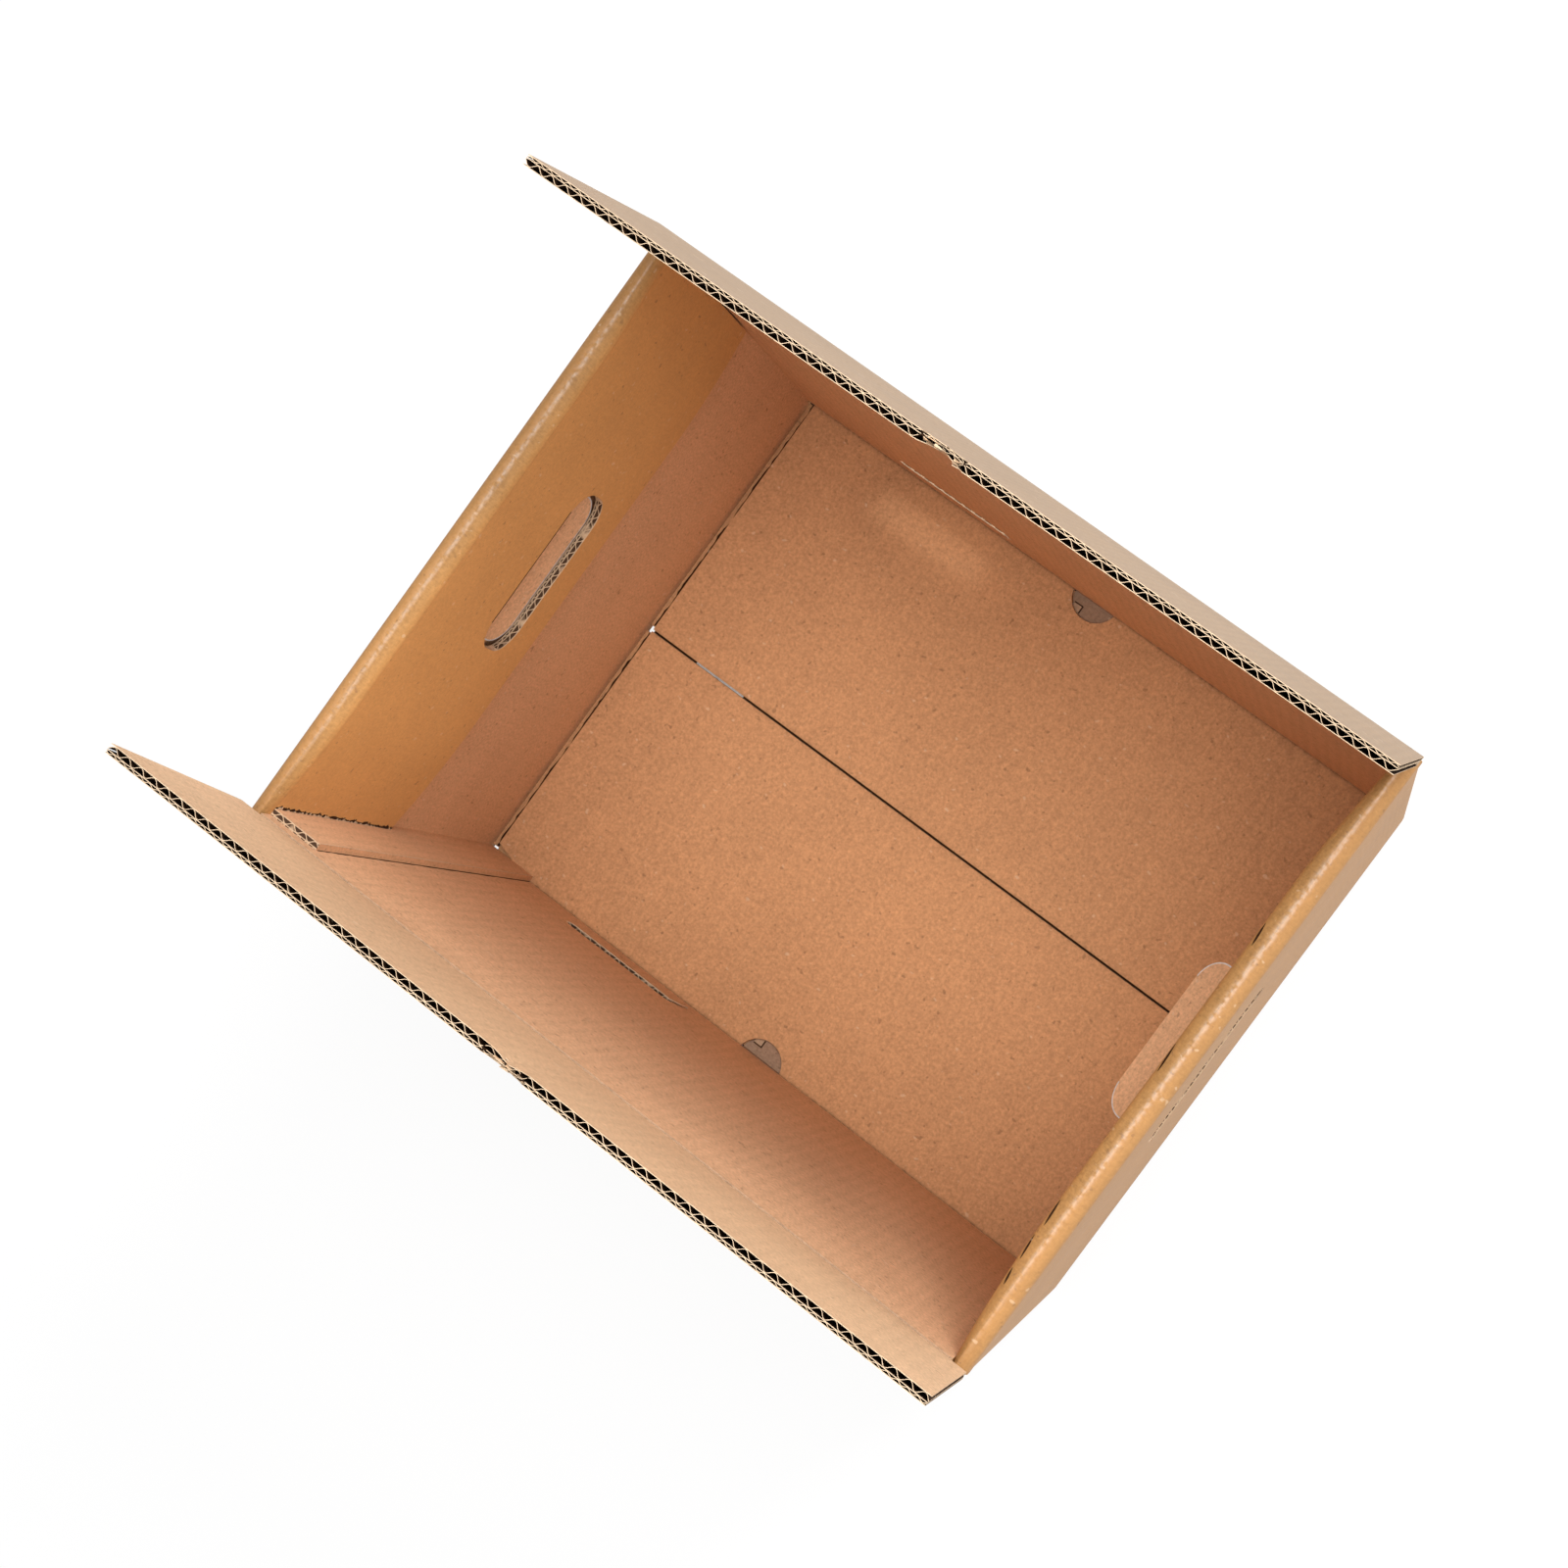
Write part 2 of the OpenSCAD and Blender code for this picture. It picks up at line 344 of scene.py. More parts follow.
# %% Painted light and shade on the floor
DENT_AT = (-0.083, 0.136)
DENT_SIZE = (0.042, 0.020)
DENT_LIGHT = 0.09
DENT_RING_SHADE = 0.05
SCORES = [0.136, 0.152]
SCORE_WIDTH = 0.8 * MM
SCORE_SHADE = 0.07
FOLD_WIDTH = 0.9 * MM
FOLD_SHADE = 0.55
SEAM_SHADE = 0.35


def fading(distance):
    """1 at distance 0, falling away as the distance grows."""
    return (distance * -1.0).exp()


def floor_painted_light(tree, place):
    """Painted highlight and shade of a soft dent under the back grip slot, and painted shade in two faint
    scores across the right end, along the wall folds and along the middle seam.
    """
    x, y, _ = tree.split(place)
    away = ((x - DENT_AT[0]) / DENT_SIZE[0]) ** 2.0 + ((y - DENT_AT[1]) / DENT_SIZE[1]) ** 2.0
    light = fading(away) * DENT_LIGHT - fading((away - 2.0).abs()) * DENT_RING_SHADE
    for at in SCORES:
        light = light - fading((x - at).abs() / SCORE_WIDTH) * SCORE_SHADE
    fold = (HALF_W - BOARD - y.abs()) / FOLD_WIDTH
    seam = y.abs() / FOLD_WIDTH
    return light - fading(fold.max(0.0)) * FOLD_SHADE - fading(seam) * SEAM_SHADE


print("dent at", DENT_AT, "scores at", SCORES)

# %% Painted shade and light at the rims, and their gloss
RIM_MID = 338.5 * MM
RIM_TOP = 345.0 * MM
RIM_START = RIM_MID - 1.0 * MM
RIM_SHADE = 0.51
UPPER_PANEL = RIM_MID - 42.0 * MM
UPPER_LIGHT = 0.06
SPECK_SCALE = 420.0
SPECK_GLOSS = 0.85
PAPER_GLOSS = 0.05


def rim_shade(tree, place):
    """Painted shade over the top of the rolled rim, and painted light on the panel just below it."""
    height = tree.split(place)[2]
    over = tree.ramp(height, RIM_START, RIM_TOP - 0.6 * MM) * -RIM_SHADE
    return over + tree.ramp(height, UPPER_PANEL, RIM_START) * UPPER_LIGHT


def rim_coat(tree, place):
    """Rubbed paper: a thin gloss everywhere and bright specks along the top of the rim."""
    height = tree.split(place)[2]
    specks = tree.ramp(tree.noise(place, SPECK_SCALE, 2.0), 0.34, 0.54)
    on_top = tree.ramp(height, RIM_TOP - 0.5 * MM, RIM_TOP - 0.05 * MM)
    return on_top * specks * SPECK_GLOSS + PAPER_GLOSS


print("rim from", round(RIM_START, 4), "to", round(RIM_TOP, 4))

# %% The papers of the box
SMOOTH = {"rough": 0.55, "specular": 0.12, "grit": 0.4}
PAPERS = {
    "inner_end": kraft("inner_paper_end", END_TONE, "y", BIG_PITCH, 0.010),
    "inner_long": kraft("inner_paper_long", LONG_TONE, "x", BIG_PITCH, 0.030),
    "floor": kraft("inner_paper_floor", FLOOR_TONE, "x", BIG_PITCH, 0.014, painted_light=floor_painted_light),
    "flap_inner": kraft("inner_paper_flap", FLAP_INNER_TONE, "x", BIG_PITCH, 0.022),
    "panel": kraft("outer_paper_panel", PANEL_TONE, "y", SMALL_PITCH, 0.006,
                   coat=rim_coat, painted_light=rim_shade, **SMOOTH),
    "outer_end": kraft("outer_paper_end", OUTER_TONE, "y", SMALL_PITCH, 0.010, coat=rim_coat, **SMOOTH),
    "outer_long": kraft("outer_paper_long", OUTER_TONE, "x", SMALL_PITCH, 0.022, coat=PAPER_GLOSS, **SMOOTH),
    "flap_outer": kraft("outer_paper_flap", FLAP_OUTER_TONE, "x", SMALL_PITCH, 0.025,
                        coat=PAPER_GLOSS, **SMOOTH),
    "end_tab": kraft("lower_tab", TAB_SHADE_TONE, "y", BIG_PITCH, 0.0, 0.9),
    "pale": kraft("seam_light", PALE_TONE, "y", BIG_PITCH, 0.0, 0.9),
    "lower": kraft("lower_paper_shade", LOWER_SHADE_TONE, "y", BIG_PITCH, 0.0, 0.9),
    "flute": kraft("flute_painted_shade", FLUTE_SHADE_TONE, "x", BIG_PITCH, 0.0, 0.95, specular=0.05),
    "cut": kraft("cut_paper", CUT_TONE, "x", SMALL_PITCH, 0.0, 0.9, specular=0.1),
}
print("papers", sorted(PAPERS))

# %% [markdown]
# Where the knife went through the board, its edge shows the papers: pale lines with dark holes between them,
# the holes' darkness painted shade.
# On the top flaps this is real geometry. On the slots and hand holes the edges are small,
# so the shader draws the section: three straight papers and two waves across the edge's own thickness.

# %% Cut edges of the walls
TAB = 3.5 * MM
HOLE_SHADE_TONE = (0.055, 0.028, 0.014, 1)
PULP_TONE = (0.42, 0.28, 0.17, 1)
PULP_SCALE = 900.0
CRUSHED_SCALE = 110.0


def cut_edge(name, along_axis, thick_axis, inner_at):
    material, tree = new_material(name)
    place = tree.add("ShaderNodeTexCoord", None, None, "Object")
    parts = tree.split(place)
    along = parts["xyz".index(along_axis)]
    depth = parts["xyz".index(thick_axis)].abs() - inner_at

    def near(middle, half):
        return (depth - middle).abs() < half

    def wave_at(pitch, low, high):
        swing = (along * (2 * math.pi / pitch)).cos() * ((high - low) / 2)
        return near(swing + (low + high) / 2, PAPER * 0.9)

    middle = BIG_FLUTE + PAPER * 1.5
    papers = near(PAPER / 2, PAPER * 0.8)
    papers = papers.max(near(BOARD - PAPER / 2, PAPER * 0.8))
    papers = papers.max(near(middle, PAPER * 0.7))
    papers = papers.max(wave_at(BIG_PITCH, PAPER, BIG_FLUTE + PAPER))
    papers = papers.max(wave_at(SMALL_PITCH, middle + PAPER / 2, BOARD - PAPER))
    grain = tree.noise(place, PULP_SCALE, 3.0)
    pulp = tree.mix(grain, PULP_TONE, CUT_TONE)
    crushed = tree.ramp(tree.noise(place, CRUSHED_SCALE, 2.0), 0.56, 0.66)
    # The holes between the papers are painted dark: painted shade in the flute voids.
    color = tree.mix(papers.max(crushed), HOLE_SHADE_TONE, pulp)
    close_material(tree, color, 0.9, papers * 2.0 + grain, 0.5)
    return material


PAPERS["edge_long"] = cut_edge("cut_edge_long", "x", "y", HALF_W - BOARD)
PAPERS["edge_end"] = cut_edge("cut_edge_end", "y", "x", HALF_L - BOARD)
PAPERS["edge_panel"] = cut_edge("cut_edge_panel", "y", "x", HALF_L - ROLL_WIDTH)
PAPERS["edge_tab"] = cut_edge("cut_edge_tab", "x", "y", HALF_W - BOARD - TAB)
print("cut edges", sorted(name for name in PAPERS if name.startswith("edge")))

# %% [markdown]
# The folded body keeps the shape that the joints and the collision model are built on.
# A copy of its mesh is merged, and each face takes the paper that shows there: the outer paper outside,
# on the rolled rims and on the panels that fold to the inside, the inner paper on the walls and floor,
# and the cut section on thin edges. Choosing by a face's place and direction needs no painting by hand.

# %% Which paper shows where
SLOTS = [
    "panel", "inner_end", "inner_long", "floor", "outer_end", "outer_long", "edge_long", "edge_end",
    "edge_panel", "edge_tab", "cut", "end_tab", "pale",
]
SHOULDER = 331.0 * MM
PANEL_LOW = 186.0 * MM
PANEL_BACK = 1.6 * BOARD
WALL_DEEP = 1.3 * BOARD
FLOOR_TOP = 2.5 * BOARD
NEAR = 0.4 * MM
FACING = 0.9
LEANING = 0.7


def close_to(value, target):
    return abs(value - target) < NEAR


def end_wall_paper(n, c, inset):
    inward = n.x * c.x < 0
    if close_to(abs(c.x), HALF_L - ROLL_WIDTH) and inward:
        return "outer_end"
    if close_to(abs(c.x), HALF_L - BOARD) and inward:
        return "inner_end"
    if close_to(abs(c.x), HALF_L):
        return "outer_end"
    return "inner_end" if c.z > FLOOR_TOP and inset > 2 * ROLL_WIDTH else "cut"


def long_wall_paper(n, c):
    if close_to(abs(c.y), HALF_W):
        return "outer_long"
    if n.y * c.y < 0 and abs(c.y) > HALF_W - 2 * BOARD:
        return "inner_long"
    return "cut"


def body_paper(n, c):
    inset = HALF_L - abs(c.x)
    in_roll = inset < ROLL_WIDTH + NEAR
    if c.z > SHOULDER and in_roll and abs(n.y) < LEANING:
        return "panel" if inset > ROLL_WIDTH / 2 else "outer_end"
    on_panel = in_roll and inset > PANEL_BACK and PANEL_LOW < c.z < SHOULDER
    if on_panel and n.x * c.x < 0 and abs(n.x) > LEANING:
        return "panel"
    in_long_wall = abs(c.y) > HALF_W - BOARD - NEAR
    through = "edge_long" if in_long_wall else "edge_end" if inset < WALL_DEEP else "edge_panel"
    if abs(n.z) > FACING and c.z < FLOOR_TOP:
        return "floor" if n.z > 0 else "outer_long"
    # Above the shoulder, the tops of the long walls in the flap creases take the darker tab paper, painted
    # shade.
    if abs(n.z) > FACING and c.z > SHOULDER:
        return "end_tab" if in_long_wall else "edge_tab"
    if abs(n.z) > FACING:
        return through
    if abs(n.x) > FACING:
        return end_wall_paper(n, c, inset)
    if abs(n.y) > FACING:
        return long_wall_paper(n, c)
    at_corner = abs(c.x) > HALF_L - BOARD - NEAR and in_long_wall
    return "outer_end" if c.z < FLOOR_TOP or at_corner else through


print("papers on the body", len(SLOTS))

# %% [markdown]
# On a used box the ends of the rolled panels and rims are pressed against the end walls, and only their
# middle stands off. A lattice could bend them, but a rule for each point is shorter:
# the mesh is cut across near its ends, and the points there move outwards with the square of the distance.

# %% Bend the ends of the rolled panels
BOW_FROM = 85 * MM
BOW_FRONT = 5.0 * MM
BOW_BACK = 3.6 * MM
BOW_ROOT = 1.2 * BOARD
BOW_CUTS = [95, 105, 115, 125, 135, 143, 150, 155]


def bow_share(y):
    """0 along the middle of an end wall, rising to 1 at its corners."""
    return (max(0.0, abs(y) - BOW_FROM) / (HALF_W - BOW_FROM)) ** 2


def bow(work):
    """Presses the ends of the rolled panels and rims against the end walls."""
    for cut in BOW_CUTS:
        for side in (-1, 1):
            parts = work.verts[:] + work.edges[:] + work.faces[:]
            bmesh.ops.bisect_plane(work, geom=parts, plane_co=(0, side * cut * MM, 0), plane_no=(0, 1, 0))
    front = HALF_L - ROLL_WIDTH
    for vert in work.verts:
        inset = HALF_L - abs(vert.co.x)
        if vert.co.z < PANEL_LOW - NEAR or inset < BOW_ROOT or inset > ROLL_WIDTH + NEAR:
            continue
        move = (inset - BOW_ROOT) / (ROLL_WIDTH - BOW_ROOT) * BOW_FRONT
        if vert.co.z < SHOULDER and abs(vert.co.x) > front + BOARD / 2:
            move = BOW_BACK
        vert.co.x += math.copysign(move * bow_share(vert.co.y), vert.co.x)


print("bend at the corners", round(BOW_FRONT, 4))

# %% Dress the folded body
MERGE = 0.005 * MM
SHARP = math.radians(28)


def merged_copy(node, reshape):
    work = bmesh.new()
    work.from_mesh(frame["nodes"][node].data)
    bmesh.ops.remove_doubles(work, verts=work.verts, dist=MERGE)
    reshape(work)
    mesh = bpy.data.meshes.new(node)
    work.to_mesh(mesh)
    work.free()
    mesh.materials.clear()
    if "custom_normal" in mesh.attributes:
        mesh.attributes.remove(mesh.attributes["custom_normal"])
    return mesh


def as_piece(name, mesh, papers):
    mesh.name = name
    for paper in papers:
        mesh.materials.append(PAPERS[paper])
    piece = bpy.data.objects.new(name, mesh)
    bpy.context.scene.collection.objects.link(piece)
    return piece


def dress(node, chooser, reshape):
    mesh = merged_copy(node, reshape)
    marks = mesh.attributes.get("pale_rim")
    for face in mesh.polygons:
        marked = marks and marks.data[face.index].value
        paper = "pale" if marked else chooser(face.normal, face.center)
        face.material_index = SLOTS.index(paper)
        face.use_smooth = True
    mesh.set_sharp_from_angle(angle=SHARP)
    piece = as_piece(node + "_dressed", mesh, SLOTS)
    body = frame["nodes"][node]["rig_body"]
    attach(piece, body)
    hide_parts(node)
    return piece


carton = dress("carton_body", body_paper, bow)
print("carton faces", len(carton.data.polygons))

# %% [markdown]
# The hand flaps are tongues cut from the end walls and pushed in. Their broad faces carry the wall's papers,
# and their round edge shows the cut board. The knife leaves a thin pale line round such a tongue.
# A bevel would blur it, so a narrow band is inset on the inner face and takes the pale paper.

# %% Dress the hand flaps
BROAD = 0.3
STRAIGHT = 0.05
PALE_RIM = 0.7 * MM
RIM_BELOW = 246.0 * MM


def hand_paper(side):
    def choose(n, c):
        broad = abs(n.y) < STRAIGHT and abs(n.x) + abs(n.z) > 1.0 - 1e-3
        if broad and n.x * side < -BROAD:
            return "inner_end"
        if broad and n.x * side > BROAD:
            return "outer_end"
        return "cut"
    return choose


def pale_rim(side):
    def mark_outline(work):
        """Marks a thin band on the inner face, along the outline that the knife left pale."""
        choose = hand_paper(side)
        mark = work.faces.layers.int.new("pale_rim")
        inner = [f for f in work.faces if choose(f.normal, f.calc_center_median()) == "inner_end"]
        ring = bmesh.ops.inset_region(work, faces=inner, thickness=PALE_RIM, use_even_offset=True)
        for face in ring["faces"]:
            face[mark] = int(face.calc_center_median().z < RIM_BELOW)
    return mark_outline


left_hand = dress("left_hand_flap", hand_paper(-1), pale_rim(-1))
right_hand = dress("right_hand_flap", hand_paper(1), pale_rim(1))
print("hand flaps", left_hand.name, right_hand.name)

# %% [markdown]
# The top flaps show the board's section along their free edges, which is what the eye catches first.
# A shader could draw the waves there, but the outline of the edge would stay straight.
# So each of the five papers is one grid, bent into its wave by Geometry Nodes,
# and a flat liner has a wave of zero.
# The tree also presses the board thin at the crease, steps and crushes the free edge,
# and lets the flutes wander a little, as real ones do.

# %% Named inputs of the tree for one paper
SHAPE = [
    ("Length", 0.4), ("Root", 0.0), ("Depth", 0.16), ("Base", 0.0), ("Wave", 0.0), ("Pitch", 0.007),
    ("Paper", 0.0003), ("Press", 0.2), ("Press Start", 0.005), ("Press End", 0.0066), ("Step", 0.003),
    ("Crush Width", 0.02), ("Crush Depth", 0.006), ("Crush Place", 0.0), ("Ragged", 0.0004),
    ("Wander", 0.0006),
]
COUNTS = [("Columns", 100), ("Rows", 12), ("Seed", 1)]


def empty_tree():
    group = bpy.data.node_groups.new("corrugated_paper", "GeometryNodeTree")
    group.interface.new_socket("Geometry", in_out="OUTPUT", socket_type="NodeSocketGeometry")
    for kind, inputs in (("NodeSocketFloat", SHAPE), ("NodeSocketInt", COUNTS)):
        for name, value in inputs:
            group.interface.new_socket(name, in_out="INPUT", socket_type=kind).default_value = value
    group.interface.new_socket("Material", in_out="INPUT", socket_type="NodeSocketMaterial")
    return group


PAPER_TREE = empty_tree()
print("inputs", len(SHAPE) + len(COUNTS) + 1)

# %% Bend, press and crush one paper
TEAR_SCALE = 160.0
RAGGED_SCALE = 260.0
WANDER_SCALE = 22.0
SWELL_SCALE = 35.0
SWELL_MOST = 1.04
FLATTENED = 0.55
FLAT_REACH = 12 * MM
WEB_ROW = 2.0
STEP_ROW = 3.0
ROW_SPREAD = 1.5
WELD = 1e-6


def fill_tree(group):
    tree = Tree(group)
    entry = tree.add("NodeGroupInput").socket.node
    given = {s.name: Val(tree, s) for s in entry.outputs if s.name}
    root = given["Root"]
    press_start = given["Press Start"]
    press_end = given["Press End"]
    grid = tree.add("GeometryNodeMeshGrid", None, {
        "Size X": given["Length"], "Size Y": 1.0,
        "Vertices X": given["Columns"], "Vertices Y": given["Rows"]})
    x, y, _ = tree.split(tree.add("GeometryNodeInputPosition"))

    def drift(scale, shift):
        """Noise along the crease, from -0.5 to 0.5, another one for each seed, layer and shift."""
        spot = tree.add("ShaderNodeCombineXYZ", None, {
            0: x, 1: given["Seed"] * 1.37 + shift, 2: given["Base"] * 900.0})
        return tree.noise(spot, scale, 2.0) - 0.5

    apart = x - given["Crush Place"]
    middle = 1.0 - (apart.abs() / (given["Crush Width"] * 0.5)).min(1.0)
    crush = (middle ** 0.5) * given["Crush Depth"] * (1.0 + drift(TEAR_SCALE, 3.0) * 1.6)
    reach = given["Depth"] - (apart < 0.0) * given["Step"] - crush
    reach = reach + drift(RAGGED_SCALE, 9.0) * given["Ragged"] * 2.0
    last = given["Rows"] - 1.0
    row = (y + 0.5) * last
    web = tree.ramp(row, 0.0, WEB_ROW) * (press_start - root)
    step = tree.ramp(row, WEB_ROW, STEP_ROW) * (press_end - press_start)
    along = root + web + step + (tree.ramp(row, STEP_ROW, last) ** ROW_SPREAD) * (reach - press_end)
    wander = drift(WANDER_SCALE, 5.0) * given["Wander"] * 2.0
    swing = ((x + wander) * (2 * math.pi) / given["Pitch"]).cos() * 0.5 + 0.5
    swell = 1.0 + drift(SWELL_SCALE, 13.0) * 0.25
    height = given["Base"] + given["Wave"] * swing * swell.min(SWELL_MOST)
    pressed = given["Press"] + (1.0 - given["Press"]) * tree.ramp(along, press_start, press_end)
    flat = 1.0 - middle * FLATTENED * tree.ramp(along, reach - FLAT_REACH, reach)
    place = tree.add("ShaderNodeCombineXYZ", None, {0: x, 1: along, 2: height * pressed * flat})
    bent = tree.add("GeometryNodeSetPosition", None, {"Geometry": grid, "Position": place})
    thick = tree.add("GeometryNodeExtrudeMesh", {"mode": "FACES"}, {
        "Mesh": bent, "Offset Scale": given["Paper"], "Individual": False})
    under = tree.add("GeometryNodeFlipFaces", None, {"Mesh": bent})
    join = tree.add("GeometryNodeJoinGeometry", None, {0: thick})
    tree.plug(join.socket.node.inputs[0], under)
    closed = tree.add("GeometryNodeMergeByDistance", None, {"Geometry": join, "Distance": WELD})
    whole = tree.add("GeometryNodeRealizeInstances", None, {"Geometry": closed})
    done = tree.add("GeometryNodeSetMaterial", None, {"Geometry": whole, "Material": given["Material"]})
    tree.add("NodeGroupOutput", None, {0: done})


fill_tree(PAPER_TREE)
print("tree nodes", len(PAPER_TREE.nodes))

# %% [markdown]
# A flap is five runs of that tree, laid on each other from the outer face inwards.
# The flat sheet has X along the crease, Y from the crease to the free edge and Z through the board.
# One matrix then stands it on its crease at the lean that it has in the photograph,
# so the sheet can be thought of lying flat, as it does when the board is cut.

# %% Layers of a flap and its place
HINGES = {j["child"]: j for j in frame["joints"]}
FLAP_LEAN = {"back_flap": 7.5, "front_flap": 5.5}
FLAP_LIFT = 0.15 * MM
LINER = 0.30 * MM
FLUTED = 0.25 * MM
SMALL_LAYER = 1.10 * MM
BIG_LAYER = BOARD - 3 * LINER - SMALL_LAYER
FLAT_COLUMNS = 240
SMALL_COLUMNS = 86 * 9 + 1
BIG_COLUMNS = 59 * 12 + 1
LAYERS = [
    ("flap_outer", 0.0, 0.0, SMALL_PITCH, LINER, FLAT_COLUMNS),
    # Both waves take the near-black paper, painted as the shade inside the flute voids.
    ("flute", LINER, SMALL_LAYER - FLUTED, SMALL_PITCH, FLUTED, SMALL_COLUMNS),
    ("flute", LINER + SMALL_LAYER, 0.0, BIG_PITCH, LINER, FLAT_COLUMNS),
    ("flute", 2 * LINER + SMALL_LAYER, BIG_LAYER - FLUTED, BIG_PITCH, FLUTED, BIG_COLUMNS),
    ("flap_inner", BOARD - LINER, 0.0, BIG_PITCH, LINER, FLAT_COLUMNS),
]


def stand_on_crease(node):
    """Matrix from a flap's flat sheet to its place on the crease."""
    hinge = Vector(HINGES[node]["pos_m"])
    side = 1 if hinge.y > 0 else -1
    lean = math.radians(FLAP_LEAN[node])
    up = Vector((0, -side * math.sin(lean), math.cos(lean)))
    inward = Vector((0, -side * math.cos(lean), -math.sin(lean)))
    start = hinge + inward * FLAP_LIFT
    turn = Matrix((Vector((1, 0, 0)), up, inward)).transposed().to_4x4()
    return Matrix.Translation(start) @ turn, up


print("large flute", round(BIG_LAYER, 5), "small flute", round(SMALL_LAYER, 5))

# %% Run the tree for one paper
FLAP_LENGTH = 2 * HALF_L - 0.6 * MM
FLAP_DEPTH = HALF_W - 2.0 * MM
WEB = 0.8 * MM
CRUSH_AT = {"back_flap": -0.5, "front_flap": 2.0}
FLAP_SHAPE = {
    "Length": FLAP_LENGTH, "Root": -0.7 * MM, "Depth": FLAP_DEPTH, "Press": WEB / BOARD,
    "Press Start": 5.0 * MM, "Press End": 6.6 * MM, "Step": 3 * MM,
    "Crush Width": 22 * MM, "Crush Depth": 6 * MM, "Rows": 12,
}


def run_tree(values, name):
    carrier = bpy.data.objects.new(name, bpy.data.meshes.new(name))
    bpy.context.scene.collection.objects.link(carrier)
    modifier = carrier.modifiers.new("paper", "NODES")
    modifier.node_group = PAPER_TREE
    ids = {s.name: s.identifier for s in PAPER_TREE.interface.items_tree if s.in_out == "INPUT"}
    for key, value in values.items():
        modifier[ids[key]] = value
    bpy.context.view_layer.update()
    graph = bpy.context.evaluated_depsgraph_get()
    mesh = bpy.data.meshes.new_from_object(carrier.evaluated_get(graph))
    bpy.data.objects.remove(carrier)
    return mesh


print("flap", round(FLAP_LENGTH, 4), "by", round(FLAP_DEPTH, 4))

# %% Build the top flaps
FLAP_SLOTS = ["flap_outer", "flute", "cut", "flap_inner"]
GLUED_SIDE = {"flap_outer": 1, "flap_inner": -1}
EDGE_FACING = 0.75
FLAP_SHARP = math.radians(40)


def stack_papers(node, seed):
    """The five papers of a flap, still lying flat."""
    whole = bmesh.new()
    for paper, base, wave, pitch, thick, columns in LAYERS:
        layer = {
            "Base": base, "Wave": wave, "Pitch": pitch, "Paper": thick, "Columns": columns, "Seed": seed,
            "Crush Place": CRUSH_AT[node] * MM, "Material": PAPERS[paper]}
        mesh = run_tree({**FLAP_SHAPE, **layer}, node + "_" + paper)
        start = len(whole.faces)
        whole.from_mesh(mesh)
        whole.faces.ensure_lookup_table()
        for face in whole.faces[start:]:
            hidden = face.normal.z * GLUED_SIDE.get(paper, 0) > 0.5
            face.material_index = FLAP_SLOTS.index("flute" if hidden else paper)
            face.smooth = True
        bpy.data.meshes.remove(mesh)
    return whole


def show_cut(whole, up):
    """Gives the free edge and the two side edges the pale colour of cut paper."""
    for face in whole.faces:
        at_side = abs(face.calc_center_median().x) > FLAP_LENGTH / 2 - 0.5 * MM
        if face.normal.dot(up) > EDGE_FACING or (at_side and abs(face.normal.x) > EDGE_FACING):
            face.material_index = FLAP_SLOTS.index("cut")
            face.smooth = False


def build_flap(node, seed):
    place, up = stand_on_crease(node)
    whole = stack_papers(node, seed)
    bmesh.ops.transform(whole, matrix=place, verts=whole.verts)
    if place.determinant() < 0:
        bmesh.ops.reverse_faces(whole, faces=whole.faces)
    whole.normal_update()
    show_cut(whole, up)
    mesh = bpy.data.meshes.new(node + "_papers")
    whole.to_mesh(mesh)
    whole.free()
    mesh.set_sharp_from_angle(angle=FLAP_SHARP)
    piece = as_piece(node + "_papers", mesh, FLAP_SLOTS)
    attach(piece, frame["nodes"][node]["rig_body"])
    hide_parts(node)
    return piece


for node, seed in (("back_flap", 3), ("front_flap", 7)):
    flap = build_flap(node, seed)
    print(node, "triangles", sum(len(p.vertices) - 2 for p in flap.data.polygons))

# %% [markdown]
# Wear is what makes card look like card: torn sides, frayed slots and wrinkles, with the shade in them and in
# the gaps painted as dark sheets.
# Sculpting could give these shapes, but all of them are thin paper, so one helper makes them in code:
# a closed sheet over a small grid of points, thickened along one direction.
# A seeded row of wandering numbers gives each torn side its outline, the same on every run.

# %% Thin sheets of paper
dice = np.random.RandomState(11)


def spot(x, y, z):
    """A point given in millimetres."""
    return (x * MM, y * MM, z * MM)


def slab(name, rows, lift, paper, body="carton"):
    """A thin closed sheet over a grid of points, thickened along lift."""
    wide = len(rows[0])
    flat = [Vector(point) for row in rows for point in row]
    count = len(flat)
    faces = []
    for i in range(len(rows) - 1):
        for j in range(wide - 1):
            a = i * wide + j
            quad = (a, a + 1, a + wide + 1, a + wide)
            faces += [quad[::-1], tuple(q + count for q in quad)]
    last = (len(rows) - 1) * wide
    ring = list(range(wide)) + [i * wide + wide - 1 for i in range(1, len(rows))]
    ring += list(range(last + wide - 2, last - 1, -1)) + [i * wide for i in range(len(rows) - 2, 0, -1)]
    for here, there in zip(ring, ring[1:] + ring[:1]):
        faces.append((here, there, there + count, here + count))
    mesh = bpy.data.meshes.new(name)
    mesh.from_pydata(flat + [point + Vector(lift) for point in flat], [], faces)
    work = bmesh.new()
    work.from_mesh(mesh)
    bmesh.ops.recalc_face_normals(work, faces=work.faces)
    work.to_mesh(mesh)
    work.free()
    piece = as_piece(name, mesh, [paper])
    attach(piece, body)


def ragged(count, low, high):
    """A wandering row of numbers between low and high."""
    steps = np.convolve(dice.rand(count + 4), np.ones(3) / 3, "same")[2:-2]
    steps = (steps - steps.min()) / (steps.max() - steps.min())
    return low + (high - low) * (0.6 * steps + 0.4 * dice.rand(count))


print("helpers for thin sheets ready")

